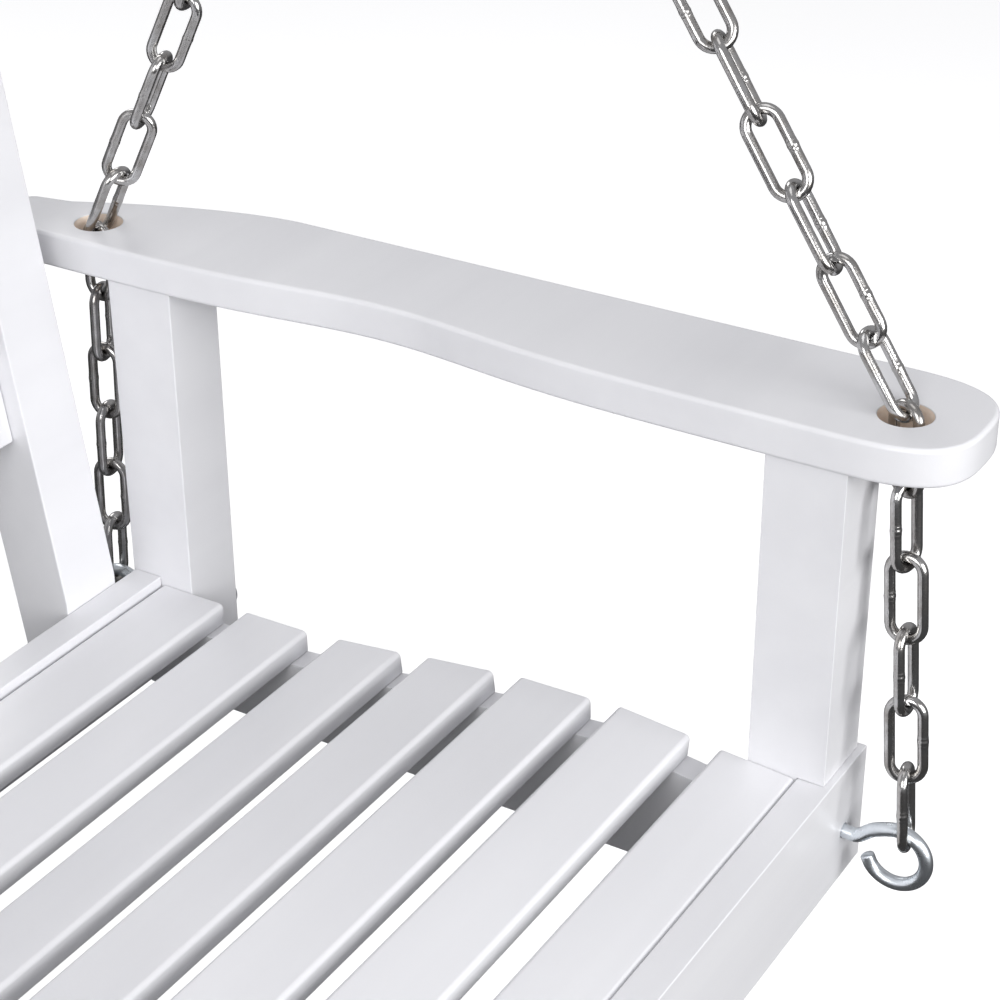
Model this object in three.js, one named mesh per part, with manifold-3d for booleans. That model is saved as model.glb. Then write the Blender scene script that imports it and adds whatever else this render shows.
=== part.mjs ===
// A two-seat wooden porch swing that hangs on four chain legs from two steel rings.
// Units are millimetres and +Z is up. +X is the sitter's left hand, and the seat faces -Y.
// The origin is the middle of the line on which the swing turns, which runs along X
// through the lowest wire of both rings.
//
// Inside the file the seat is drawn in seat coordinates: X from the middle of the seat,
// Y back from the front rail's front face, Z up from the front rail's top edge.
// The seat group then moves it all down and forward to its place under the rings.
import * as THREE from 'three';
import { mergeVertices } from 'three/addons/utils/BufferGeometryUtils.js';
import Module from 'manifold-3d';

const wasm = await Module();
wasm.setup();

// ---- driving dimensions ----
const GAP = 0.3;               // air between pieces that rest on each other
const HALF_SEAT = 561;         // middle of the seat to the end of every slat
const RAIL_THICK = 20;         // front, rear, side and centre rails
const RAIL_HIGH = 74;
const REAR_RAIL_Y = 456.5;     // front face of the rear rail
const REAR_RAIL_TOP = -6.5;    // the seat falls towards the back
const SIDE_RAIL_THICK = 18;
const POST_WIDE = 44;          // along X
const POST_DEEP = 45.6;        // along Y
const FRONT_POST_Y = 4;        // its front face stands just behind the rail's
const REAR_POST_Y = 432.8;
const RAIL_PAST_POST = 5;      // the front rail runs this far past the posts

const SLAT_THICK = 14;
const SLAT_EDGE = 3;           // radius along a slat's two top edges
// Each seat slat's top face: front Y, front Z, back Y, back Z. They follow the seat's dip.
const SLAT_TOPS = [
  [20.5, -0.2, 66.5, 3.4],
  [84.2, 5.7, 129.9, 9.8],
  [147.4, 8.6, 194.4, 7.5],
  [212.0, 5.2, 258.1, -0.2],
  [276.5, -3.2, 322.2, -8.5],
  [344.4, -10.5, 391.2, -11.3],
  [408.0, -11.4, 455.5, -11.6],
];

const ARM_UNDER = 191.4;       // underside of the arms above the front rail's top
const ARM_THICK = 22;
const ARM_INNER = -4;          // the arm's inner edge, from the slats' ends outwards
const ARM_OUTER = 88;
const ARM_WAIST = 13;          // depth of the hollow in the inner edge
const ARM_WAIST_Y = 290;       // its middle and half its length
const ARM_WAIST_LONG = 85;
const ARM_FRONT_Y = -52;
const ARM_ROUND_Y = 12;        // where the round front end begins
const ARM_SQUARENESS = 2.9;    // of the front end: 2 would be an ellipse
const ARM_INNER_Y = [30, 510]; // the ends of the inner edge's long curve
const ARM_TAPER_Y = 400;       // behind this the outer edge curves in
const ARM_TAPER_LONG = 160;    // length and depth of that curve
const ARM_TAPER_DEEP = 54;
const ARM_BACK_Y = 575;
const ARM_TIP = 24;            // radius at the arm's back end
const CHAIN_HOLE_R = 14.5;
const ARM_HOLES = { front: [35, -10.5], rear: [25, 503.5] }; // X out from the slats' ends, and Y

const BACK_LEAN = THREE.MathUtils.degToRad(8.8);
const STILE_WIDE = 45;         // along X
const STILE_DEEP = 43;         // front to back, square to its length
const STILE_OUTER = HALF_SEAT - 20;
const STILE_FOOT_Z = -78;
const STILE_LONG = 470;        // along the slope, from seat level to the top
const BACK_THICK = 20;         // both rails of the back
const LOW_RAIL = [108, 60];    // height up the slope, and how tall it is
const TOP_RAIL = [392, 70];
const BACK_SLATS = 11;
const BACK_SLAT_WIDE = 45;
const BACK_SLAT_THICK = 12;

const LINK_WIRE = 6;           // chain: diameter of the wire
const LINK_WIDE = 24;          // outside width of a link, which is 42 long inside
const LOWER_LINKS = 6;         // hook to arm
const UPPER_LINKS = { front: 13, rear: 12 }; // arm to ring
// Where the two runs of a leg hook together: X out from the slats' ends, Y and Z.
const RUNS_MEET = { front: [36, -10.3, 215], rear: [25, 504.8, 208] };
const HOOK_WIRE = 8;
const HOOK_R = 17.5;           // centre line of the hook's loop
const HOOK_OUT = 31.5;         // loop's centre in front of the wood
const HOOK_Z = -48;            // loop's centre
const HOOK_X = HALF_SEAT + 24;
const HOOK_DEEP = 28;          // how far its shank goes into the wood
const HOOK_SHANK_Z = -42.5;    // the wire rises from here to the crown of the loop
const HOOK_TURN = THREE.MathUtils.degToRad(252); // how far the loop goes round
const HOOK_HOLE_R = HOOK_WIRE / 2 + 0.6;
const RING_WIRE = 7;
const RING_R = 26;             // centre line of the ring
const RING_X = HALF_SEAT + 65; // the legs splay out a little on their way up
const LEG_APART = 8;           // between the two top links on one ring
const PIVOT_Y = 296;           // the line that the swing turns on, in seat coordinates
const PIVOT_Z = 650;
const SCREW_R = 4;
const SCREW_CLEAR = 0.3;
const SCREW_REACH = 15;        // how far a screw goes into the rail behind

// ---- looks ----
const paint = () => new THREE.MeshStandardMaterial({ color: 0xe9e8ee, roughness: 0.45 });
const steel = () => new THREE.MeshStandardMaterial({ color: 0x9a958f, roughness: 0.3, metalness: 1 });
const zinc = () => new THREE.MeshStandardMaterial({ color: 0xb6bfc6, roughness: 0.3, metalness: 1 });

// ---- solids ----
function solidOf(geometry) {
  const bare = geometry.index ? geometry.toNonIndexed() : geometry.clone();
  bare.deleteAttribute('normal');
  bare.deleteAttribute('uv');
  const merged = mergeVertices(bare, 1e-4);
  return new wasm.Manifold(new wasm.Mesh({
    numProp: 3,
    vertProperties: Float32Array.from(merged.attributes.position.array),
    triVerts: Uint32Array.from(merged.index.array),
  }));
}

function geometryOf(solid) {
  const mesh = solid.getMesh();
  const geometry = new THREE.BufferGeometry();
  geometry.setAttribute('position', new THREE.BufferAttribute(mesh.vertProperties, 3));
  geometry.setIndex(new THREE.BufferAttribute(mesh.triVerts, 1));
  geometry.computeVertexNormals();
  return geometry;
}

function cut(geometry, tools) {
  const solid = tools.reduce((left, tool) => left.subtract(solidOf(tool)), solidOf(geometry));
  return geometryOf(solid);
}

function join(geometries) {
  const [first, ...rest] = geometries.map(solidOf);
  return geometryOf(rest.reduce((sum, next) => sum.add(next), first));
}

function block(x, y, z) {
  const box = new THREE.BoxGeometry(x[1] - x[0], y[1] - y[0], z[1] - z[0]);
  return box.translate((x[0] + x[1]) / 2, (y[0] + y[1]) / 2, (z[0] + z[1]) / 2);
}

// An outline drawn in (Y, Z) and drawn out along X.
function alongX(shape, x0, x1) {
  const geometry = new THREE.ExtrudeGeometry(shape, { depth: x1 - x0, bevelEnabled: false });
  const turn = new THREE.Matrix4().makeBasis(
    new THREE.Vector3(0, 1, 0), new THREE.Vector3(0, 0, 1), new THREE.Vector3(1, 0, 0));
  return geometry.applyMatrix4(turn).translate(x0, 0, 0);
}

function outline(points) {
  return new THREE.Shape(points.map(([y, z]) => new THREE.Vector2(y, z)));
}

// Round tools along Y and X, for the holes of screws and hooks.
function holeAlongY(x, z, radius, y0, y1) {
  const rod = new THREE.CylinderGeometry(radius, radius, y1 - y0, 10);
  return rod.translate(0, (y0 + y1) / 2, 0).translate(x, 0, z);
}

function holeAlongX(y, z, radius, x0, x1) {
  const rod = new THREE.CylinderGeometry(radius, radius, Math.abs(x1 - x0), 10);
  return rod.rotateZ(Math.PI / 2).translate((x0 + x1) / 2, y, z);
}

const seat = new THREE.Group();
seat.position.set(0, -PIVOT_Y, -PIVOT_Z);
const hangers = new THREE.Group();

function add(name, geometry, material, group = seat) {
  const mesh = new THREE.Mesh(geometry, material);
  mesh.name = name;
  group.add(mesh);
}

const SIDES = [['left', 1], ['right', -1]];
const ENDS = ['front', 'rear'];

// ---- where the screws go ----
// Two screws go through each post into the side rail, and two through each stile into the rear
// rail. The posts' front pair is in the middle of the wood behind the notch, and the rear pair
// clears the rear rail.
const POST_SCREWS_Z = [-36, -60];
const STILE_SCREWS_Z = [-36, -60];
const postScrewY = { front: (RAIL_THICK + FRONT_POST_Y + POST_DEEP) / 2, rear: REAR_POST_Y + 10 };
const stileMiddleX = STILE_OUTER - STILE_WIDE / 2;

// ---- frame under the seat ----
function slatUnder(slat) {
  const [y0, z0, y1, z1] = slat;
  const length = Math.hypot(y1 - y0, z1 - z0);
  const down = [(z1 - z0) / length * SLAT_THICK, -(y1 - y0) / length * SLAT_THICK];
  return [[y0 + down[0], z0 + down[1] - GAP], [y1 + down[0], z1 + down[1] - GAP]];
}

function sideRailShape() {
  const y0 = RAIL_THICK + GAP;
  const y1 = REAR_RAIL_Y - GAP;
  const shelf = SLAT_TOPS.flatMap(slatUnder);
  shelf[0][0] = y0;
  shelf[shelf.length - 1][0] = y1;
  return outline([[y0, -RAIL_HIGH], [y1, -RAIL_HIGH], ...shelf.reverse()]);
}

function screwHoleAcross(side, end, z, x0, x1) {
  return holeAlongX(postScrewY[end], z, SCREW_R + SCREW_CLEAR, side * x0, side * x1);
}

const frontRailEnd = HALF_SEAT + POST_WIDE + RAIL_PAST_POST;
add('front_rail', cut(
  block([-frontRailEnd, frontRailEnd], [0, RAIL_THICK], [-RAIL_HIGH, 0]),
  SIDES.map(([, s]) => holeAlongY(s * HOOK_X, HOOK_SHANK_Z, HOOK_HOLE_R, -1, RAIL_THICK + 1)),
), paint());

add('rear_rail', cut(
  block([-HALF_SEAT + GAP, HALF_SEAT - GAP], [REAR_RAIL_Y, REAR_RAIL_Y + RAIL_THICK],
    [-RAIL_HIGH, REAR_RAIL_TOP]),
  SIDES.flatMap(([, s]) => STILE_SCREWS_Z.map((z) => holeAlongY(s * stileMiddleX, z,
    SCREW_R + SCREW_CLEAR, REAR_RAIL_Y + RAIL_THICK - SCREW_REACH - 1, REAR_RAIL_Y + RAIL_THICK + 1))),
), paint());

for (const [name, s] of SIDES) {
  const x = [s * (HALF_SEAT - SIDE_RAIL_THICK), s * (HALF_SEAT - GAP)].sort((a, b) => a - b);
  const holes = ENDS.flatMap((end) => POST_SCREWS_Z.map(
    (z) => screwHoleAcross(s, end, z, HALF_SEAT - SCREW_REACH - 1, HALF_SEAT + 1)));
  add(`side_rail_${name}`, cut(alongX(sideRailShape(), ...x), holes), paint());
}
add('centre_rail', alongX(sideRailShape(), -RAIL_THICK / 2, RAIL_THICK / 2), paint());

// ---- seat slats ----
function slatShape([y0, z0, y1, z1]) {
  const length = Math.hypot(y1 - y0, z1 - z0);
  const along = new THREE.Vector2((y1 - y0) / length, (z1 - z0) / length);
  const up = new THREE.Vector2(-along.y, along.x);
  const at = (u, v) => new THREE.Vector2(y0, z0).addScaledVector(along, u).addScaledVector(up, v);
  const shape = new THREE.Shape();
  const steps = [0, 30, 60, 90].map((a) => THREE.MathUtils.degToRad(a));
  const r = SLAT_EDGE;
  const front = steps.map((a) => at(r - r * Math.cos(a), r * Math.sin(a) - r));
  const back = steps.map((a) => at(length - r + r * Math.sin(a), r * Math.cos(a) - r));
  shape.setFromPoints([at(0, -SLAT_THICK), ...front, ...back, at(length, -SLAT_THICK)]);
  return shape;
}
SLAT_TOPS.forEach((slat, i) => {
  add(`seat_slat_${i + 1}`, alongX(slatShape(slat), -HALF_SEAT + GAP, HALF_SEAT - GAP), paint());
});

// ---- posts ----
// The front posts stand on the front rail with a notch; the rear posts run down behind the slats.
const backOfPost = REAR_POST_Y + POST_DEEP;
for (const [name, s] of SIDES) {
  const x = [s * HALF_SEAT, s * (HALF_SEAT + POST_WIDE)].sort((a, b) => a - b);
  const screwHoles = (end) => POST_SCREWS_Z.map(
    (z) => screwHoleAcross(s, end, z, HALF_SEAT - 1, HALF_SEAT + POST_WIDE + 1));
  const front = block(x, [FRONT_POST_Y, FRONT_POST_Y + POST_DEEP], [-RAIL_HIGH, ARM_UNDER - GAP]);
  const notch = block([x[0] - 1, x[1] + 1], [FRONT_POST_Y - 1, RAIL_THICK + GAP], [-RAIL_HIGH - 1, GAP]);
  const hookHole = (y0, y1) => holeAlongY(s * HOOK_X, HOOK_SHANK_Z, HOOK_HOLE_R, y0, y1);
  add(`arm_post_front_${name}`,
    cut(front, [notch, ...screwHoles('front'), hookHole(RAIL_THICK - 1, HOOK_DEEP + 1)]), paint());
  const rear = block(x, [REAR_POST_Y, backOfPost], [-RAIL_HIGH, ARM_UNDER - GAP]);
  add(`arm_post_rear_${name}`,
    cut(rear, [...screwHoles('rear'), hookHole(backOfPost - HOOK_DEEP - 1, backOfPost + 1)]), paint());
}

// ---- arms ----
function armShape(s) {
  const px = (out) => s * (HALF_SEAT + out);
  const shape = new THREE.Shape();
  const frontR = (ARM_OUTER - ARM_INNER) / 2;
  const middle = (ARM_OUTER + ARM_INNER) / 2;
  const edge = [];
  // the inner edge, front to back, with its shallow waist
  for (let i = 0; i <= 12; i += 1) {
    const y = THREE.MathUtils.lerp(...ARM_INNER_Y, i / 12);
    const waist = Math.exp(-(((y - ARM_WAIST_Y) / ARM_WAIST_LONG) ** 2));
    edge.push([ARM_INNER + ARM_WAIST * waist, y]);
  }
  // round the back end, then forward along the tapering outer edge
  for (let i = 0; i <= 6; i += 1) {
    const a = Math.PI - (i / 6) * 0.8 * Math.PI;
    edge.push([ARM_INNER + ARM_TIP * (1 + Math.cos(a)), ARM_BACK_Y - ARM_TIP * (1 - Math.sin(a))]);
  }
  for (let i = 7; i >= 0; i -= 1) {
    const t = (i / 8) ** 1.55;
    edge.push([ARM_OUTER - t * ARM_TAPER_DEEP, ARM_TAPER_Y + (i / 8) * ARM_TAPER_LONG]);
  }
  // the round front end, a flattened half circle
  for (let i = 0; i <= 16; i += 1) {
    const a = (i / 16) * Math.PI;
    const cos = Math.sign(Math.cos(a)) * Math.abs(Math.cos(a)) ** (2 / ARM_SQUARENESS);
    const sin = Math.sin(a) ** (2 / ARM_SQUARENESS);
    edge.push([middle + frontR * cos, ARM_ROUND_Y + (ARM_FRONT_Y - ARM_ROUND_Y) * sin]);
  }
  shape.setFromPoints(edge.map(([out, y]) => new THREE.Vector2(px(out), y)));
  for (const [out, y] of Object.values(ARM_HOLES)) {
    const hole = new THREE.Path();
    hole.absarc(px(out), y, CHAIN_HOLE_R, 0, 2 * Math.PI);
    shape.holes.push(hole);
  }
  return shape;
}
for (const [name, s] of SIDES) {
  const arm = new THREE.ExtrudeGeometry(armShape(s),
    { depth: ARM_THICK, bevelEnabled: false, curveSegments: 16 });
  add(`armrest_${name}`, arm.translate(0, 0, ARM_UNDER), paint());
}

// ---- the back ----
// u runs up the slope from seat level, v runs back square to it from the stile's front face.
const stileY = REAR_RAIL_Y + RAIL_THICK + GAP;
function onBack(u, v) {
  return [stileY + u * Math.sin(BACK_LEAN) + v * Math.cos(BACK_LEAN),
    u * Math.cos(BACK_LEAN) - v * Math.sin(BACK_LEAN)];
}
function backPiece(u0, u1, v0, v1) {
  return outline([onBack(u0, v0), onBack(u0, v1), onBack(u1, v1), onBack(u1, v0)]);
}
function stileShape() {
  const backEdge = onBack(0, STILE_DEEP);
  const reach = backEdge[0] + (STILE_FOOT_Z - backEdge[1]) * Math.tan(BACK_LEAN);
  return outline([[stileY, STILE_FOOT_Z], [reach, STILE_FOOT_Z],
    onBack(STILE_LONG, STILE_DEEP), onBack(STILE_LONG, 0), [stileY, 0]]);
}
const railV = (STILE_DEEP - BACK_THICK) / 2;
const stileInner = STILE_OUTER - STILE_WIDE;
for (const [name, s] of SIDES) {
  const x = [s * stileInner, s * STILE_OUTER].sort((a, b) => a - b);
  const holes = STILE_SCREWS_Z.map((z) => holeAlongY(
    s * stileMiddleX, z, SCREW_R + SCREW_CLEAR, stileY - 1, stileY + 2 * STILE_DEEP));
  add(`back_stile_${name}`, cut(alongX(stileShape(), ...x), holes), paint());
}
for (const [name, [up, tall]] of [['back_low_rail', LOW_RAIL], ['back_top_rail', TOP_RAIL]]) {
  add(name, alongX(backPiece(up, up + tall, railV, railV + BACK_THICK),
    -stileInner + GAP, stileInner - GAP), paint());
}
const slatV = (STILE_DEEP - BACK_SLAT_THICK) / 2;
const slatSpace = (2 * stileInner - BACK_SLATS * BACK_SLAT_WIDE) / (BACK_SLATS + 1);
for (let i = 0; i < BACK_SLATS; i += 1) {
  const x0 = -stileInner + slatSpace + i * (BACK_SLAT_WIDE + slatSpace);
  const shape = backPiece(
    LOW_RAIL[0] + LOW_RAIL[1] + GAP, TOP_RAIL[0] - GAP, slatV, slatV + BACK_SLAT_THICK);
  add(`back_slat_${i + 1}`, alongX(shape, x0, x0 + BACK_SLAT_WIDE), paint());
}

// ---- screws ----
// Each is drawn about the Y axis with its domed head's seat at y = 0.
const HEAD_R = 10;
const HEAD_TALL = 5;
function screw(length) {
  const profile = [[0, -HEAD_TALL], [HEAD_R * 0.6, 1 - HEAD_TALL], [HEAD_R, -GAP], [SCREW_R, -GAP],
    [SCREW_R, length - SCREW_R], [0, length]];
  return new THREE.LatheGeometry(profile.map(([r, y]) => new THREE.Vector2(r, y)), 8);
}
for (const [name, s] of SIDES) {
  for (const end of ENDS) {
    POST_SCREWS_Z.forEach((z, i) => {
      const geometry = screw(POST_WIDE + SCREW_REACH).rotateZ(s * Math.PI / 2);
      geometry.translate(s * (HALF_SEAT + POST_WIDE), postScrewY[end], z);
      add(`post_screw_${end}_${name}_${i + 1}`, geometry, zinc());
    });
  }
}
for (const [name, s] of SIDES) {
  STILE_SCREWS_Z.forEach((z, i) => {
    // the head stands clear of the back face, which leans away under it
    const backFace = onBack(0, STILE_DEEP);
    const y = backFace[0] + (z - backFace[1] + HEAD_R) * Math.tan(BACK_LEAN);
    const length = y - (REAR_RAIL_Y + RAIL_THICK - SCREW_REACH);
    const geometry = screw(length).rotateX(Math.PI);
    add(`stile_screw_${name}_${i + 1}`, geometry.translate(s * stileMiddleX, y, z), zinc());
  });
}

// ---- screw hooks: a shank in the wood, a rise, and an open loop ----
// forward is -1 for the hooks that stand out of the front face and +1 at the back.
function hook(x, faceY, forward) {
  const points = [-HOOK_DEEP, -HOOK_DEEP / 2, 0, HOOK_OUT / 4].map((out) => [out, HOOK_SHANK_Z]);
  points.push([HOOK_OUT * 0.55, HOOK_SHANK_Z + 0.6 * (HOOK_Z + HOOK_R - HOOK_SHANK_Z)]);
  for (let i = 0; i <= 12; i += 1) {
    const a = Math.PI / 2 - (i / 12) * HOOK_TURN;
    points.push([HOOK_OUT + HOOK_R * Math.cos(a), HOOK_Z + HOOK_R * Math.sin(a)]);
  }
  const path = new THREE.CatmullRomCurve3(points.map(
    ([out, z]) => new THREE.Vector3(x, faceY + forward * out, z)), false, 'centripetal');
  const round = new THREE.Shape().absarc(0, 0, HOOK_WIRE / 2, 0, 2 * Math.PI);
  return new THREE.ExtrudeGeometry(round,
    { extrudePath: path, steps: 32, curveSegments: 3, bevelEnabled: false });
}
for (const [name, s] of SIDES) {
  add(`chain_hook_front_${name}`, hook(s * HOOK_X, 0, -1), zinc());
  add(`chain_hook_rear_${name}`, hook(s * HOOK_X, backOfPost, 1), zinc());
}

// ---- chain ----
// One link is a torus whose halves are drawn apart. Its section is a square of the same area as
// the round wire, and the links of one leg meet with a slight overlap, so that a leg is one solid.
const LINK_ARC = 5;            // sections around each round end are LINK_ARC - 1 apart
const SQUARE_WIRE = LINK_WIRE * Math.sqrt(Math.PI) / 2;
function link(long) {
  const sections = 2 * LINK_ARC;
  const bend = (LINK_WIDE - LINK_WIRE) / 2;
  const torus = new THREE.TorusGeometry(bend, SQUARE_WIRE * Math.SQRT1_2, 4, sections);
  const p = torus.attributes.position;
  const reach = long / 2 - bend;
  for (let i = 0; i < p.count; i += 1) {
    const step = Math.round(Math.atan2(p.getY(i), p.getX(i)) / (2 * Math.PI) * sections);
    const n = (step + sections) % sections;
    const half = Math.floor(n / LINK_ARC);
    const a = Math.PI * (half + (n % LINK_ARC) / (LINK_ARC - 1));
    const rho = Math.hypot(p.getX(i), p.getY(i)) - bend;
    const z = p.getZ(i);
    const side = (rho - z) * Math.SQRT1_2;
    const out = bend + side;
    p.setXYZ(i, out * Math.cos(a), out * Math.sin(a) + (half ? -reach : reach), (rho + z) * Math.SQRT1_2);
  }
  return torus;
}

// A straight run of links between two points, where other wires of the same chain would lie.
// across is the direction that the first link's flat side spreads in, and twist is how far the
// links have turned by the end of the run.
function chainRun(from, to, count, across, twist = 0) {
  const start = new THREE.Vector3(...from);
  const dir = new THREE.Vector3(...to).sub(start);
  const pitch = dir.length() / count;
  dir.normalize();
  const flat = new THREE.Vector3(...across);
  flat.addScaledVector(dir, -flat.dot(dir)).normalize();
  const other = new THREE.Vector3().crossVectors(flat, dir);
  const links = [];
  for (let i = 0; i < count; i += 1) {
    const wide = (i % 2 ? other : flat).clone().applyAxisAngle(dir, twist * i / (count - 1));
    const third = new THREE.Vector3().crossVectors(wide, dir);
    const place = new THREE.Matrix4().makeBasis(wide, dir, third);
    place.setPosition(start.clone().addScaledVector(dir, (i + 0.5) * pitch));
    links.push(link(pitch + SQUARE_WIRE - 0.3).applyMatrix4(place));
  }
  return join(links);
}

// The lower run hangs from the hook's loop a little in front of its crown. The upper run's last
// link is hooked through the lower run's top one in the arm's hole.
const LINK_UNDER = 5.7;        // how far the upper run's last wire lies below the lower run's end
// Turns the lower run's top link clear of the hole's wall.
const LOWER_TWIST = THREE.MathUtils.degToRad(-8);
const PAST_CROWN = 5;
const hookUnderZ = HOOK_Z + Math.sqrt(HOOK_R ** 2 - PAST_CROWN ** 2) - HOOK_WIRE / 2 - 7 * GAP;
for (const [name, s] of SIDES) {
  for (const end of ENDS) {
    const front = end === 'front';
    const hang = HOOK_OUT + PAST_CROWN;
    const hookTop = [s * HOOK_X, front ? -hang : backOfPost + hang, hookUnderZ];
    const [out, meetY, meetZ] = RUNS_MEET[end];
    const meet = new THREE.Vector3(s * (HALF_SEAT + out), meetY, meetZ);
    // the top link's end lies just clear of the ring's wire, on the far side of it from the leg
    const ringWire = new THREE.Vector3(
      s * (RING_X + (front ? 0.5 : -0.5) * LEG_APART), PIVOT_Y, PIVOT_Z);
    const up = ringWire.clone().sub(meet).normalize();
    const top = ringWire.addScaledVector(up, RING_WIRE / 2 + 8 * GAP);
    const foot = meet.clone().addScaledVector(up, SQUARE_WIRE / 2);
    foot.z -= LINK_UNDER;
    add(`chain_lower_${end}_${name}`,
      chainRun(hookTop, meet.toArray(), LOWER_LINKS, [1, 0, 0], s * LOWER_TWIST), steel());
    // the top link lies across the ring's wire and the lowest one across the run below, so a leg
    // with an odd number of links has a quarter turn in it
    const twist = UPPER_LINKS[end] % 2 ? s * Math.PI / 2 : 0;
    add(`chain_upper_${end}_${name}`,
      chainRun(top.toArray(), foot.toArray(), UPPER_LINKS[end], [0, 1, 0], twist), steel());
  }
}

// ---- rings ----
for (const [name, s] of SIDES) {
  const ring = new THREE.TorusGeometry(RING_R, RING_WIRE / 2, 8, 24).rotateX(Math.PI / 2);
  add(`hanging_ring_${name}`, ring.translate(s * RING_X, 0, RING_R), zinc(), hangers);
}

const group = new THREE.Group();
group.add(seat, hangers);
export default group;
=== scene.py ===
"""Looks of the porch swing: eased painted boards, round chain links, swept hooks and screws.

Lengths below are millimetres in seat coordinates, as in the CAD source: X from the middle of the
seat, Y back from the front rail's front face, Z up from the front rail's top edge. row() turns them
into metres in the row frame.
"""

import math
import random

import bmesh
import bpy
from mathutils import Matrix, Vector


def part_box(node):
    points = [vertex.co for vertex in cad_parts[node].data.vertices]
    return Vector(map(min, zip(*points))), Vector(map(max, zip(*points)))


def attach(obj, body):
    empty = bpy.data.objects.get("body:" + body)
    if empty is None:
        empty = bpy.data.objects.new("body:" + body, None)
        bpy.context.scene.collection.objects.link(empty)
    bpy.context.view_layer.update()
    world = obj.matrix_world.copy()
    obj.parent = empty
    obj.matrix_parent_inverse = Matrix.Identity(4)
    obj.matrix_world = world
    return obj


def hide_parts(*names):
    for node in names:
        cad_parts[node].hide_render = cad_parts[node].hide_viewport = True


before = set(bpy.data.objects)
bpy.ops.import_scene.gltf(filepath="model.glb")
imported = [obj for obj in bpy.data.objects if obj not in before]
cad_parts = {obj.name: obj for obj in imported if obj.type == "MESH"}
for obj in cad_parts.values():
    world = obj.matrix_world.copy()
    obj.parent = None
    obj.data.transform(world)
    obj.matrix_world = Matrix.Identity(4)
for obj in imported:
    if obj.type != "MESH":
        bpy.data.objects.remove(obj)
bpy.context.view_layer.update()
chance = random.Random(41)

# ---- dimensions shared with the CAD source ----
PIVOT = Vector((0, 296, 650))
HALF_SEAT = 561
ARM_UNDER, ARM_THICK = 191.4, 22
ARM_INNER, ARM_OUTER, ARM_WAIST = -4, 88, 13
ARM_FRONT_Y, ARM_ROUND_Y, ARM_TAPER_Y, ARM_BACK_Y, ARM_TIP = -52, 12, 400, 575, 24
ARM_SQUARENESS = 2.9
ARM_WAIST_Y, ARM_WAIST_LONG, ARM_TAPER_LONG, ARM_TAPER_DEEP = 290, 85, 160, 54
CHAIN_HOLE_R = 14.5
HOLES = {"front": (35, -10.5), "rear": (25, 503.5)}
BACK_OF_POST = 478.4
LINK_WIRE, LINK_WIDE = 6, 24
RUNS_MEET = {"front": (36, -10.3, 215), "rear": (25, 504.8, 208)}
PAST_CROWN = 5
HOOK_WIRE, HOOK_R, HOOK_OUT, HOOK_Z, HOOK_X, HOOK_DEEP = 8, 17.5, 31.5, -48, 585, 28
HOOK_SHANK_Z, HOOK_TURN = -42.5, math.radians(252)
RING_WIRE, RING_R, RING_X = 7, 26, 626
LEG_APART = 8
POST_WIDE, SCREW_REACH = 44, 15
SIDES = {"left": 1, "right": -1}


def row(p):
    """Seat coordinates in millimetres to the row frame in metres."""
    return (Vector(p) - PIVOT) / 1000


# ---- materials ----
def material(name, color, roughness, metallic=0.0):
    mat = bpy.data.materials.new(name)
    mat.use_nodes = True
    shader = mat.node_tree.nodes["Principled BSDF"]
    shader.inputs["Base Color"].default_value = (*color, 1)
    shader.inputs["Roughness"].default_value = roughness
    shader.inputs["Metallic"].default_value = metallic
    return mat, mat.node_tree, shader


def node(tree, kind, inputs=None, **settings):
    """Adds a node; inputs are values, or (node, output) pairs to link from."""
    made = tree.nodes.new(kind)
    for key, value in settings.items():
        setattr(made, key, value)
    for key, value in (inputs or {}).items():
        if isinstance(value, tuple) and len(value) == 2 and isinstance(value[0], bpy.types.Node):
            tree.links.new(value[0].outputs[value[1]], made.inputs[key])
        else:
            made.inputs[key].default_value = value
    return made


def grain_space(tree, turn, stretch):
    """Coordinates stretched along the grain, and the attribute that cuts each board differently."""
    place = node(tree, "ShaderNodeTexCoord")
    mapped = node(tree, "ShaderNodeMapping",
                  {"Vector": (place, "Object"), "Rotation": turn, "Scale": stretch})
    board = node(tree, "ShaderNodeAttribute", attribute_name="board")
    return mapped, board


def noise(tree, space, scale, detail=3.0, rough=0.5, board=None):
    inputs = {"Vector": (space, "Vector" if "Vector" in space.outputs else "Object"),
              "Scale": scale, "Detail": detail, "Roughness": rough}
    if board:
        inputs["W"] = (board, "Fac")
    return node(tree, "ShaderNodeTexNoise", inputs, noise_dimensions="4D" if board else "3D")


def spread(tree, source, low, high, output="Fac"):
    """Maps the middle of a noise's range to low..high."""
    return node(tree, "ShaderNodeMapRange",
                {"Value": (source, output), "From Min": 0.3, "From Max": 0.7,
                 "To Min": low, "To Max": high})


def blend_colors(tree, factor, first, second, output="Result"):
    mixed = node(tree, "ShaderNodeMix", {"Factor": (factor, output)}, data_type="RGBA")
    for socket, color in (("A", first), ("B", second)):
        inputs = [i for i in mixed.inputs if i.name == socket and i.type == "RGBA"]
        if isinstance(color, tuple) and isinstance(color[0], bpy.types.Node):
            outs = [o for o in color[0].outputs if o.name == color[1] and o.type == "RGBA"]
            tree.links.new(outs[0], inputs[0])
        else:
            inputs[0].default_value = (*color, 1)
    return mixed


def color_out(mixed):
    return next(o for o in mixed.outputs if o.type == "RGBA")


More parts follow.
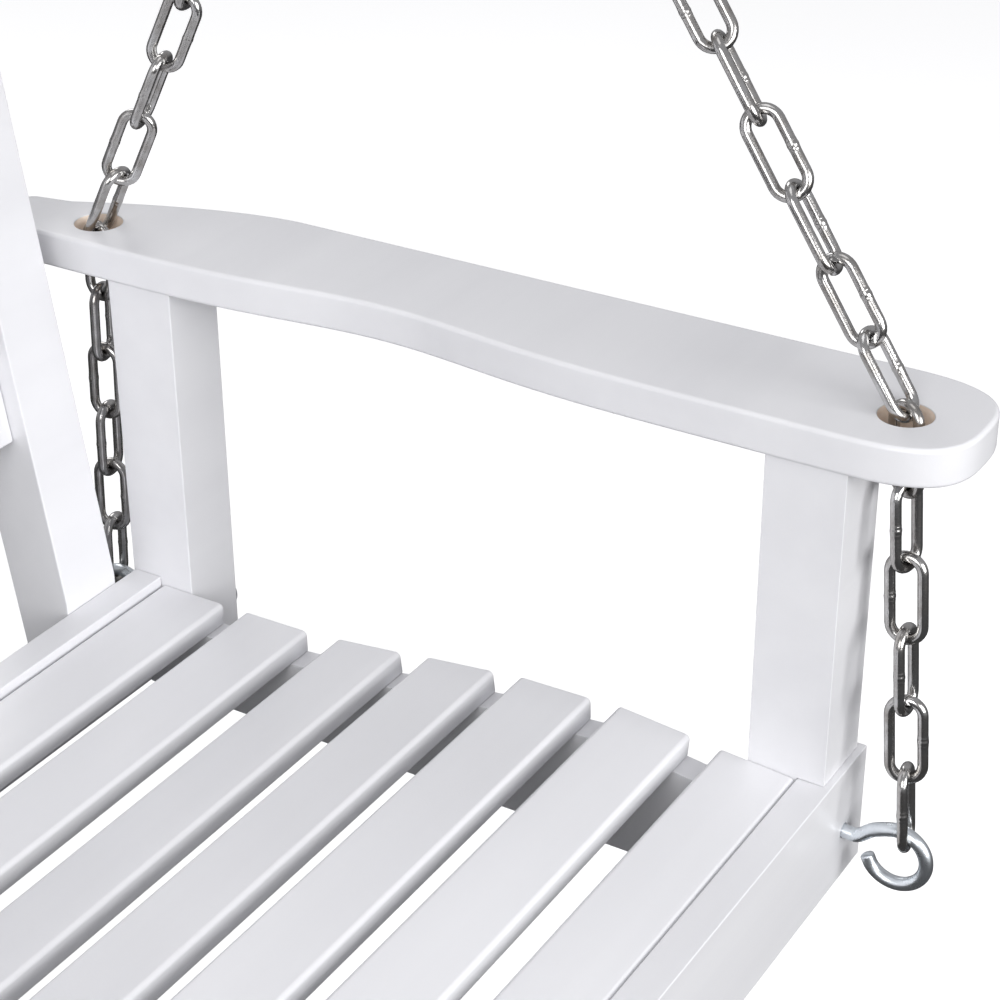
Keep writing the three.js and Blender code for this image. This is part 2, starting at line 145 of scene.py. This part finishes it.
def paint(name, turn):
    """Satin white paint over planed boards: faint grain and brush drag along it, and small specks."""
    mat, tree, shader = material(name, (0.80, 0.80, 0.825), 0.38)
    mapped, board = grain_space(tree, turn, (6, 260, 260))
    grain = noise(tree, mapped, 1.0, 5.0, 0.6, board)
    broad = grain_space(tree, turn, (1.4, 22, 22))
    drag = noise(tree, broad[0], 1.0, 3.0, 0.5, broad[1])
    place = node(tree, "ShaderNodeTexCoord")
    peel = noise(tree, place, 620.0, 2.0, 0.5)
    tone = blend_colors(tree, spread(tree, drag, 0.0, 1.0), (0.775, 0.775, 0.80), (0.83, 0.83, 0.852))
    tree.links.new(color_out(tone), shader.inputs["Base Color"])
    tree.links.new(spread(tree, grain, 0.32, 0.46).outputs["Result"], shader.inputs["Roughness"])
    lines = node(tree, "ShaderNodeMath", {0: (grain, "Fac"), 1: 0.75}, operation="MULTIPLY")
    height = node(tree, "ShaderNodeMath", {0: (peel, "Fac"), 1: 0.25, 2: (lines, "Value")},
                  operation="MULTIPLY_ADD")
    bump = node(tree, "ShaderNodeBump",
                {"Height": (height, "Value"), "Distance": 0.0004, "Strength": 0.35})
    tree.links.new(bump.outputs["Normal"], shader.inputs["Normal"])
    shader.inputs["Coat Weight"].default_value = 0.15
    shader.inputs["Coat Roughness"].default_value = 0.2
    return mat


def raw_wood():
    """The bored walls of the chain holes, where the drill has cut through the paint."""
    mat, tree, shader = material("raw_wood", (0.98, 0.84, 0.70), 0.75)
    mapped, board = grain_space(tree, (0, 0, math.pi / 2), (40, 700, 700))
    grain = noise(tree, mapped, 1.0, 5.0, 0.65, board)
    tone = blend_colors(tree, spread(tree, grain, 0.0, 1.0), (0.97, 0.79, 0.64), (1.0, 0.88, 0.77))
    tree.links.new(color_out(tone), shader.inputs["Base Color"])
    bump = node(tree, "ShaderNodeBump",
                {"Height": (grain, "Fac"), "Distance": 0.0005, "Strength": 0.6})
    tree.links.new(bump.outputs["Normal"], shader.inputs["Normal"])
    return mat


def steel(name, bright, dull, rough, weld_tint):
    """Plated steel wire with drawn streaks, handling marks and a darker band at the weld."""
    mat, tree, shader = material(name, bright, rough[0], 1.0)
    place = node(tree, "ShaderNodeTexCoord")
    patches = noise(tree, place, 90.0, 4.0, 0.6)
    fine = noise(tree, place, 900.0, 3.0, 0.55)
    weld = node(tree, "ShaderNodeAttribute", attribute_name="weld")
    aged = blend_colors(tree, spread(tree, patches, 0.0, 1.0), bright, dull)
    tinted = blend_colors(tree, weld, (aged, "Result"), weld_tint, "Fac")
    tree.links.new(color_out(tinted), shader.inputs["Base Color"])
    tree.links.new(spread(tree, patches, *rough).outputs["Result"], shader.inputs["Roughness"])
    bump = node(tree, "ShaderNodeBump",
                {"Height": (fine, "Fac"), "Distance": 0.0002, "Strength": 0.3})
    tree.links.new(bump.outputs["Normal"], shader.inputs["Normal"])
    return mat


QUARTER = math.pi / 2
PAINT_X = paint("paint_along_x", (0, 0, 0))
PAINT_Y = paint("paint_along_y", (0, 0, -QUARTER))
PAINT_Z = paint("paint_upright", (0, QUARTER, 0))
RAW_WOOD = raw_wood()
CHAIN_STEEL = steel("chain_steel", (0.66, 0.66, 0.66), (0.36, 0.34, 0.32), (0.12, 0.26),
                    (0.50, 0.49, 0.48))
ZINC = steel("zinc_steel", (0.86, 0.91, 0.95), (0.74, 0.78, 0.82), (0.24, 0.36), (0.55, 0.55, 0.55))


# ---- making pieces ----
SHARP = math.radians(42)         # steeper edges than this are eased
ARM_EASE, HOLE_EASE = 2.6, 0.7   # rounding of the arms' edges and of the rims of their holes


def finish_piece(name, mesh, materials, body, nodes, attributes=None):
    for mat in materials:
        mesh.materials.append(mat)
    for key, values in (attributes or {}).items():
        layer = mesh.attributes.new(key, "FLOAT", "POINT")
        layer.data.foreach_set("value", values)
    mesh.shade_smooth()
    piece = bpy.data.objects.new(name, mesh)
    bpy.context.scene.collection.objects.link(piece)
    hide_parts(*nodes)
    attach(piece, body)
    return piece


def weigh_normals(piece):
    piece.modifiers.new("flat_faces", "WEIGHTED_NORMAL").weight = 60


def eased_board(name, ease, mat):
    """A copy of a CAD board with all of its sharp edges eased, as sanding and paint leave them."""
    bm = bmesh.new()
    bm.from_mesh(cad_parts[name].data)
    bmesh.ops.remove_doubles(bm, verts=bm.verts, dist=1e-6)
    bmesh.ops.dissolve_limit(bm, angle_limit=math.radians(0.6), verts=bm.verts, edges=bm.edges)
    sharp = [e for e in bm.edges if len(e.link_faces) == 2 and e.calc_face_angle() > SHARP]
    bmesh.ops.bevel(bm, geom=sharp, offset=ease / 1000, offset_type="OFFSET", segments=3,
                    profile=0.5, affect="EDGES", clamp_overlap=True)
    mesh = bpy.data.meshes.new(name + "_board")
    bm.to_mesh(mesh)
    bm.free()
    cut = chance.uniform(0, 40)
    weigh_normals(finish_piece(name + "_board", mesh, [mat], "swing", [name],
                               {"board": [cut] * len(mesh.vertices)}))


def tube(path, radii, sides=16, closed=False):
    """Points and faces of a round bar along a path, with its own radius at each point."""
    count = len(path)
    ahead = [path[(i + 1) % count] - path[i - 1] for i in range(count)]
    if not closed:
        ahead[0], ahead[-1] = path[1] - path[0], path[-1] - path[-2]
    ahead = [a.normalized() for a in ahead]
    side = ahead[0].orthogonal().normalized()
    points, faces = [], []
    for at, along, radius in zip(path, ahead, radii):
        side = (side - along * side.dot(along)).normalized()
        up = along.cross(side)
        for j in range(sides):
            a = 2 * math.pi * j / sides
            points.append(at + radius * (math.cos(a) * side + math.sin(a) * up))
    for i in range(count if closed else count - 1):
        for j in range(sides):
            k = (i + 1) % count * sides
            faces.append((i * sides + j, i * sides + (j + 1) % sides, k + (j + 1) % sides, k + j))
    if not closed:
        faces.append(tuple(reversed(range(sides))))
        faces.append(tuple(range((count - 1) * sides, count * sides)))
    return points, faces


def row_mesh(name, points, faces):
    mesh = bpy.data.meshes.new(name)
    mesh.from_pydata([row(p) for p in points], [], faces)
    return mesh


# ---- arms ----
def arm_outline():
    """The arm's edge as (out from the slats' ends, Y): inner edge, back, outer edge, round front."""
    edge = []
    for i in range(61):
        y = 30 + i * 8
        waist = math.exp(-(((y - ARM_WAIST_Y) / ARM_WAIST_LONG) ** 2))
        edge.append((ARM_INNER + ARM_WAIST * waist, y))
    for i in range(1, 19):
        a = math.pi - i / 18 * 0.8 * math.pi
        edge.append((ARM_INNER + ARM_TIP * (1 + math.cos(a)),
                     ARM_BACK_Y - ARM_TIP * (1 - math.sin(a))))
    for i in range(28, -1, -1):
        edge.append((ARM_OUTER - (i / 32) ** 1.55 * ARM_TAPER_DEEP,
                     ARM_TAPER_Y + i / 32 * ARM_TAPER_LONG))
    middle, half = (ARM_OUTER + ARM_INNER) / 2, (ARM_OUTER - ARM_INNER) / 2
    bulge = 2 / ARM_SQUARENESS
    for i in range(49):
        a = i / 48 * math.pi
        cos = math.copysign(abs(math.cos(a)) ** bulge, math.cos(a))
        edge.append((middle + half * cos,
                     ARM_ROUND_Y + (ARM_FRONT_Y - ARM_ROUND_Y) * math.sin(a) ** bulge))
    return edge


def even_loop(points, step):
    """The same closed outline with points at an even spacing."""
    out, at = [], 0.0
    for p, q in zip(points, points[1:] + points[:1]):
        a, b = Vector(p), Vector(q)
        length = (b - a).length
        while at < length:
            out.append(a.lerp(b, at / length))
            at += step
        at -= length
    return out


def make_arm(name, s):
    loop = even_loop(arm_outline(), 4.0)
    if s < 0:
        loop.reverse()
    flat = [Vector((s * (HALF_SEAT + p.x), p.y)) for p in loop]
    normals = []
    for i, p in enumerate(flat):
        t = flat[(i + 1) % len(flat)] - flat[i - 1]
        normals.append(Vector((t.y, -t.x)).normalized())
    area = sum(p.x * q.y - q.x * p.y for p, q in zip(flat, flat[1:] + flat[:1]))
    if area < 0:
        normals = [-n for n in normals]
    top = ARM_UNDER + ARM_THICK
    rings = []
    for k in range(5):
        a = math.radians(90 - k * 22.5)
        rings.append((ARM_EASE * (1 - math.cos(a)), ARM_UNDER + ARM_EASE * (1 - math.sin(a))))
    rings += [(inset, top + ARM_UNDER - z) for inset, z in reversed(rings)]
    bm = bmesh.new()
    board = bm.verts.layers.float.new("board")
    cut = chance.uniform(0, 40)

    def ring(points):
        return [bm.verts.new(row(p)) for p in points]

    loops = [ring([(*(p - n * inset), z) for p, n in zip(flat, normals)]) for inset, z in rings]
    caps = {"under": [loops[0]], "top": [loops[-1]]}
    walls = [(a, b, 0) for a, b in zip(loops, loops[1:])]
    for out, y in HOLES.values():
        x = s * (HALF_SEAT + out)
        turn = [2 * math.pi * i / 40 for i in range(40)]
        steps = [(HOLE_EASE, ARM_UNDER), (0, ARM_UNDER + HOLE_EASE),
                 (0, top - HOLE_EASE), (HOLE_EASE, top)]
        hole = []
        for grow, z in steps:
            r = CHAIN_HOLE_R + grow
            hole.append(ring([(x + r * math.cos(a), y + r * math.sin(a), z) for a in turn]))
        caps["under"].append(hole[0])
        caps["top"].append(hole[-1])
        walls += [(a, b, 1 if i == 1 else 0) for i, (a, b) in enumerate(zip(hole, hole[1:]))]
    for low, high, slot in walls:
        for i in range(len(low)):
            j = (i + 1) % len(low)
            bm.faces.new((low[i], low[j], high[j], high[i])).material_index = slot
    for parts in caps.values():
        edges = [bm.edges.get((p[i], p[(i + 1) % len(p)])) for p in parts for i in range(len(p))]
        bmesh.ops.triangle_fill(bm, use_beauty=True, use_dissolve=False, edges=edges)
    bmesh.ops.recalc_face_normals(bm, faces=bm.faces)
    for v in bm.verts:
        v[board] = cut
    mesh = bpy.data.meshes.new(name)
    bm.to_mesh(mesh)
    bm.free()
    weigh_normals(finish_piece(name, mesh, [PAINT_Y, RAW_WOOD], "swing",
                               [f"armrest_{name.split('_')[1]}"]))


# ---- hooks and rings ----
def smooth_path(points, steps):
    """A centripetal Catmull-Rom curve through the points."""
    ends = [2 * points[0] - points[1], *points, 2 * points[-1] - points[-2]]
    path = []
    for p0, p1, p2, p3 in zip(ends, ends[1:], ends[2:], ends[3:]):
        t1 = math.sqrt((p1 - p0).length)
        t2 = t1 + math.sqrt((p2 - p1).length)
        t3 = t2 + math.sqrt((p3 - p2).length)
        for i in range(steps):
            t = t1 + (t2 - t1) * i / steps
            a1 = p0 * (t1 - t) / t1 + p1 * t / t1
            a2 = p1 * (t2 - t) / (t2 - t1) + p2 * (t - t1) / (t2 - t1)
            a3 = p2 * (t3 - t) / (t3 - t2) + p3 * (t - t2) / (t3 - t2)
            b1 = a1 * (t2 - t) / t2 + a2 * t / t2
            b2 = a2 * (t3 - t) / (t3 - t1) + a3 * (t - t1) / (t3 - t1)
            path.append(b1 * (t2 - t) / (t2 - t1) + b2 * (t - t1) / (t2 - t1))
    return path + [points[-1]]


def make_hook(end, side, s):
    face, forward = (0, -1) if end == "front" else (BACK_OF_POST, 1)
    points = [(out, HOOK_SHANK_Z) for out in (-HOOK_DEEP, -HOOK_DEEP / 2, 0, HOOK_OUT / 4)]
    points.append((HOOK_OUT * 0.55, HOOK_SHANK_Z + 0.6 * (HOOK_Z + HOOK_R - HOOK_SHANK_Z)))
    for i in range(13):
        a = QUARTER - i / 12 * HOOK_TURN
        points.append((HOOK_OUT + HOOK_R * math.cos(a), HOOK_Z + HOOK_R * math.sin(a)))
    path = smooth_path([Vector((s * HOOK_X, face + forward * out, z)) for out, z in points], 6)
    radii = [HOOK_WIRE / 2] * len(path)
    tip = (path[-1] - path[-2]).normalized()
    path += [path[-1] + tip * 0.01, path[-1] + tip * 0.5, path[-1] + tip * 0.8]
    radii += [HOOK_WIRE / 2, HOOK_WIRE / 2 - 0.4, HOOK_WIRE / 2 - 1.0]
    name = f"chain_hook_{end}_{side}"
    mesh = row_mesh(name + "_wire", *tube(path, radii, 20))
    finish_piece(name + "_wire", mesh, [ZINC], "swing", [name],
                 {"weld": [0.0] * len(mesh.vertices)})


def weld_bump(distance):
    """How much thicker the wire is this far from its weld's middle: a bead between two lips."""
    bead = 0.30 * math.exp(-((distance / 1.3) ** 2))
    return bead + 0.12 * math.exp(-(((abs(distance) - 2.4) / 0.5) ** 2))


def make_ring(side, s):
    count, path, radii, welds = 96, [], [], []
    centre = PIVOT + Vector((s * RING_X, 0, RING_R))
    for i in range(count):
        a = 2 * math.pi * i / count
        path.append(centre + RING_R * Vector((math.cos(a), 0, math.sin(a))))
        near = abs((a - QUARTER + math.pi) % (2 * math.pi) - math.pi) * RING_R
        radii.append(RING_WIRE / 2 + weld_bump(near))
        welds.append(math.exp(-((near / 4) ** 2)))
    name = f"hanging_ring_{side}"
    mesh = row_mesh(name + "_wire", *tube(path, radii, 20, closed=True))
    finish_piece(name + "_wire", mesh, [ZINC], "hanger", [name],
                 {"weld": [w for w in welds for _ in range(20)]})


# ---- chain ----
def link_loop(long):
    """One link's centre line in its own plane, X across and Y along, with radii and weld tint."""
    bend = (LINK_WIDE - LINK_WIRE) / 2
    reach = long / 2 - bend
    near_weld = (0.5, 1, 1.6, 2, 2.4, 2.8, 3.2, 4.2, 7)
    loop = [(bend, y) for y in (-reach, *(-y for y in reversed(near_weld)), 0, *near_weld, reach)]
    for i in range(1, 16):
        a = math.pi * i / 16
        loop.append((bend * math.cos(a), reach + bend * math.sin(a)))
    loop += [(-bend, reach), (-bend, 0), (-bend, -reach)]
    for i in range(1, 16):
        a = math.pi * (1 + i / 16)
        loop.append((bend * math.cos(a), -reach + bend * math.sin(a)))
    radii = [LINK_WIRE / 2 + (weld_bump(y) if x == bend else 0) for x, y in loop]
    tint = [math.exp(-((y / 4.5) ** 2)) if x == bend else 0.0 for x, y in loop]
    return [Vector((x, y, 0)) for x, y in loop], radii, tint


def chain_run(name, low, high, s, turns):
    """Links between the lowest and the highest wire centres, one for each turn."""
    run, count = high - low, len(turns)
    pitch = (run.length - LINK_WIRE) / count
    along = run.normalized()
    loop, radii, tint = link_loop(pitch + LINK_WIRE)
    local, local_faces = tube(loop, radii, 16, closed=True)
    points, faces, welds = [], [], []
    for i in range(count):
        turn = math.radians(turns[i])
        wide = Vector((s * math.cos(turn), math.sin(turn), 0))
        wide = (wide - along * wide.dot(along)).normalized()
        if chance.random() < 0.5:
            wide = -wide
        place = Matrix((wide, along, wide.cross(along))).transposed()
        centre = low + along * (LINK_WIRE / 2 + (i + 0.5) * pitch)
        base = len(points)
        points += [centre + place @ p for p in local]
        faces += [tuple(base + k for k in f) for f in local_faces]
        welds += [w for w in tint for _ in range(16)]
    mesh = row_mesh(name + "_links", points, faces)
    finish_piece(name + "_links", mesh, [CHAIN_STEEL], "swing", [name],
                 {"weld": welds})


# How far each link's flat side is turned from +X towards +Y, in degrees, from the hook upwards.
LOWER_TURNS = {"front": (9.5, 101.5, -1.5, 93.5, -14, 66), "rear": (9, 104, 6, 98, 10, 84)}
UPPER_TURNS = {"front": [-9 + 8.2 * i + 90 * (i % 2) for i in range(13)],
               "rear": [-3 + 8 * (i % 3) + (i % 2) * (112 - 22 * i / 11) for i in range(12)]}


def make_leg(end, side, s):
    out, meet_y, meet_z = RUNS_MEET[end]
    hang = HOOK_OUT + PAST_CROWN
    under = HOOK_Z + math.sqrt(HOOK_R ** 2 - PAST_CROWN ** 2) - (HOOK_WIRE + LINK_WIRE) / 2 - 0.1
    hook = Vector((s * HOOK_X, -hang if end == "front" else BACK_OF_POST + hang, under))
    meet = Vector((s * (HALF_SEAT + out), meet_y, meet_z))
    rise = (meet - hook).normalized()
    top = meet + rise * LINK_WIRE / 2
    apart = LEG_APART if end == "front" else -LEG_APART
    ring = Vector((s * (RING_X + apart / 2), PIVOT.y, PIVOT.z))
    up = (ring - meet).normalized()
    foot = top - (rise + up).normalized() * (LINK_WIRE + 0.05)
    head = ring + up * (RING_WIRE / 2 + LINK_WIRE / 2 + 0.1)
    chain_run(f"chain_lower_{end}_{side}", hook, top, s, LOWER_TURNS[end])
    chain_run(f"chain_upper_{end}_{side}", foot, head, s, UPPER_TURNS[end])


# ---- screws ----
def lathe(profile, sides):
    """Points and faces of a turned shape: profile is (radius, distance along the screw)."""
    points, faces = [], []
    for r, d in profile:
        for j in range(sides):
            a = 2 * math.pi * (j + 0.5) / sides
            points.append(Vector((r * math.cos(a), r * math.sin(a), d)))
    for i in range(len(profile) - 1):
        for j in range(sides):
            k = (j + 1) % sides
            faces.append((i * sides + j, i * sides + k, (i + 1) * sides + k, (i + 1) * sides + j))
    faces.append(tuple(reversed(range(sides))))
    faces.append(tuple(range((len(profile) - 1) * sides, len(profile) * sides)))
    return points, faces


HEAD = [(0.4, -5.0), (3.2, -4.8), (6.0, -4.0), (8.3, -2.7), (9.6, -1.2), (9.9, -0.5), (9.7, -0.1),
        (4.0, -0.05)]


def make_screw(name, head, into, length):
    """head is the middle of the head's seat, and into the direction that it is driven in."""
    across = into.orthogonal().normalized()
    place = Matrix((across, into.cross(across), into)).transposed()
    local, faces = lathe([*HEAD, (3.9, length - 4), (0.3, length)], 32)
    mesh = row_mesh(name + "_turned", [head + place @ p for p in local], faces)
    weigh_normals(finish_piece(name + "_turned", mesh, [ZINC], "swing", [name],
                               {"weld": [0.0] * len(mesh.vertices)}))


# ---- build it all ----
for board_name in ("front_rail", "rear_rail", "side_rail_left", "side_rail_right", "centre_rail"):
    eased_board(board_name, 1.3, PAINT_X if board_name in ("front_rail", "rear_rail") else PAINT_Y)
for i in range(1, 8):
    eased_board(f"seat_slat_{i}", 0.9, PAINT_X)
for side, s in SIDES.items():
    for end in HOLES:
        eased_board(f"arm_post_{end}_{side}", 1.5, PAINT_Z)
        make_hook(end, side, s)
        make_leg(end, side, s)
    eased_board(f"back_stile_{side}", 1.6, PAINT_Z)
    make_arm(f"armrest_{side}_board", s)
    make_ring(side, s)
for board_name in ("back_low_rail", "back_top_rail"):
    eased_board(board_name, 1.5, PAINT_X)
for i in range(1, 12):
    eased_board(f"back_slat_{i}", 1.2, PAINT_Z)

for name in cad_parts:
    low, high = (corner * 1000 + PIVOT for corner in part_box(name))
    middle = (low + high) / 2
    if name.startswith("post_screw"):
        s = math.copysign(1, middle.x)
        head = Vector((s * (HALF_SEAT + POST_WIDE), middle.y, middle.z))
        make_screw(name, head, Vector((-s, 0, 0)), POST_WIDE + SCREW_REACH)
    elif name.startswith("stile_screw"):
        head = Vector((middle.x, high.y - 5, middle.z))
        make_screw(name, head, Vector((0, -1, 0)), head.y - low.y)


# ---- floor, light, camera ----
FLOOR_R, BEND_R, WALL_HIGH, FLOOR_Z = 12, 8, 40, -1.1


def make_floor():
    """A round pale floor that bends up into a wall, so that every view has the same backdrop."""
    bend = [math.radians(i * 7.5) for i in range(13)]
    profile = [(FLOOR_R + BEND_R, WALL_HIGH)]
    profile += [(FLOOR_R + BEND_R * math.cos(a), BEND_R * (1 - math.sin(a))) for a in bend]
    points, faces = lathe([*profile, (FLOOR_R - 1, 0)], 96)
    mesh = bpy.data.meshes.new("floor")
    mesh.from_pydata(points, [], faces)
    mesh.shade_smooth()
    mat, tree, shader = material("floor_white", (0.93, 0.93, 0.93), 0.9)
    place = node(tree, "ShaderNodeTexCoord")
    cloud = noise(tree, place, 1.5, 2.0, 0.5)
    tone = blend_colors(tree, spread(tree, cloud, 0.0, 1.0), (0.92, 0.92, 0.92), (0.94, 0.94, 0.94))
    tree.links.new(color_out(tone), shader.inputs["Base Color"])
    shader.inputs["Emission Color"].default_value = (1, 1, 1, 1)
    shader.inputs["Emission Strength"].default_value = 0.45
    mesh.materials.append(mat)
    floor = bpy.data.objects.new("floor", mesh)
    floor.location = (0, 0, FLOOR_Z)
    bpy.context.scene.collection.objects.link(floor)
    floor.visible_diffuse = floor.visible_glossy = floor.visible_shadow = False


def soft_light(name, at, toward, size, power):
    lamp = bpy.data.lights.new(name, "AREA")
    lamp.shape, lamp.size, lamp.size_y = "RECTANGLE", size[0], size[1]
    lamp.energy = power
    obj = bpy.data.objects.new(name, lamp)
    obj.location = at
    obj.rotation_euler = (Vector(toward) - Vector(at)).to_track_quat("-Z", "Y").to_euler()
    obj.visible_camera = False
    bpy.context.scene.collection.objects.link(obj)


def set_camera(at, azimuth, elevation, roll, lens):
    a, e, r = (math.radians(x) for x in (azimuth, elevation, roll))
    back = Vector((math.sin(a) * math.cos(e), -math.cos(a) * math.cos(e), math.sin(e)))
    right = (-back).cross(Vector((0, 0, 1))).normalized()
    up = right.cross(-back)
    turned_right = math.cos(r) * right + math.sin(r) * up
    turned_up = math.cos(r) * up - math.sin(r) * right
    data = bpy.data.cameras.new("camera")
    data.sensor_width, data.lens = 36, lens
    camera = bpy.data.objects.new("camera", data)
    facing = Matrix((turned_right, turned_up, back)).transposed()
    camera.matrix_world = Matrix.Translation(at) @ facing.to_4x4()
    bpy.context.scene.collection.objects.link(camera)
    bpy.context.scene.camera = camera


make_floor()
soft_light("key", (-2.1, -0.8, 0.7), (0.5, 0, -0.5), (1.6, 1.6), 34)
soft_light("front", (0.0, -2.5, 0.1), (0.5, 0, -0.5), (1.8, 1.2), 52)
soft_light("top", (0.3, -0.2, 2.4), (0.4, 0, -0.5), (1.6, 1.6), 8)
soft_light("back", (1.8, 1.9, 1.2), (0.5, 0, -0.4), (1.2, 1.2), 12)
world = bpy.data.worlds.new("studio")
world.use_nodes = True
tree = world.node_tree
sky = tree.nodes["Background"]
place = node(tree, "ShaderNodeTexCoord")
height = node(tree, "ShaderNodeSeparateXYZ", {"Vector": (place, "Generated")})
lift = node(tree, "ShaderNodeMapRange",
            {"Value": (height, "Z"), "From Min": -0.35, "From Max": 0.25,
             "To Min": 0.08, "To Max": 0.42})
sky.inputs["Color"].default_value = (0.97, 0.97, 1.0, 1)
tree.links.new(lift.outputs["Result"], sky.inputs["Strength"])
bpy.context.scene.world = world
bpy.context.scene.view_settings.view_transform = "Standard"
set_camera(row((-406.45, -384.9, 745.05)), -58.53, 28.9, -0.27, 84.4)
